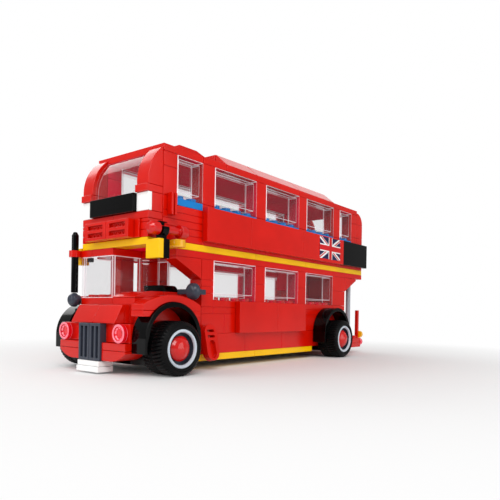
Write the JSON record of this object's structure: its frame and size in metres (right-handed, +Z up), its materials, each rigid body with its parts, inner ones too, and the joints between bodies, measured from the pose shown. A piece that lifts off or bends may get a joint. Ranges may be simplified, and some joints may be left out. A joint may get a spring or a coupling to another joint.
{
  "type": "toy double decker bus",
  "caption": "Stud-brick toy of a red half-cab double deck bus with an open rear platform; its four wheels roll.",
  "frame": {"origin": "on the floor under the centre of the bounding box", "axes": "+X towards the front of the bus, +Y to its left (kerb) side, +Z up"},
  "size_m": [0.206, 0.0776, 0.1063],
  "materials": {
    "black": "gloss",
    "blue": "gloss",
    "clear": "gloss",
    "clear_red": "gloss",
    "clear_yellow": "gloss",
    "dark_grey": "gloss",
    "light_grey": "gloss",
    "red": "gloss",
    "tyre": "satin",
    "white": "gloss",
    "yellow": "gloss"
  },
  "bodies": {
    "bus_body": {"air_vents": "red", "axles": "dark_grey", "blank_signs": "black", "blue_plates": "blue", "bonnet": "red", "bulkheads": "red", "bumper": "red", "cab_windows": "clear", "chassis": "black", "corner_bar": "black", "corner_blocks": "yellow", "corner_clip": "black", "corner_handle": "red", "corner_slopes": "red", "end_screens": "clear", "front_fenders": "red", "front_step": "white", "front_upper_wall": "red", "grille": "dark_grey", "hanging_steps": "red", "headlamps": "clear_red", "inverted_slopes": "red", "lower_floor": "red", "lower_walls": "red", "lower_windows": "clear", "mirrors": "dark_grey", "mudguards": "black", "nose_bricks": "red", "platform_pole": "light_grey", "rear_platform": "red", "roof_plates": "red", "roof_slopes": "red", "seats": "black", "side_lamps": "clear_yellow", "side_panels": "red", "sign_end_blocks": "white", "sill_strips": "yellow", "staircase": "red", "tail_lamps": "clear_red", "upper_floor": "red", "upper_walls": "red", "upper_windows": "clear", "waist_band": "yellow"},
    "wheel_front_left": {"hubcap_front_left": "red", "rim_front_left": "dark_grey", "tyre_front_left": "tyre"},
    "wheel_front_right": {"hubcap_front_right": "red", "rim_front_right": "dark_grey", "tyre_front_right": "tyre"},
    "wheel_rear_left": {"hubcap_rear_left": "red", "rim_rear_left": "dark_grey", "tyre_rear_left": "tyre"},
    "wheel_rear_right": {"hubcap_rear_right": "red", "rim_rear_right": "dark_grey", "tyre_rear_right": "tyre"}
  },
  "joints": [
    {"name": "front_left_wheel_spin", "type": "hinge", "parent": "bus_body", "child": "wheel_front_left", "pos_m": [0.083, 0.0312, 0.0116], "axis": [0, 1, 0], "continuous": true},
    {"name": "front_right_wheel_spin", "type": "hinge", "parent": "bus_body", "child": "wheel_front_right", "pos_m": [0.083, -0.0312, 0.0116], "axis": [0, 1, 0], "continuous": true},
    {"name": "rear_left_wheel_spin", "type": "hinge", "parent": "bus_body", "child": "wheel_rear_left", "pos_m": [-0.053, 0.0312, 0.0116], "axis": [0, 1, 0], "continuous": true},
    {"name": "rear_right_wheel_spin", "type": "hinge", "parent": "bus_body", "child": "wheel_rear_right", "pos_m": [-0.053, -0.0312, 0.0116], "axis": [0, 1, 0], "continuous": true}
  ]
}
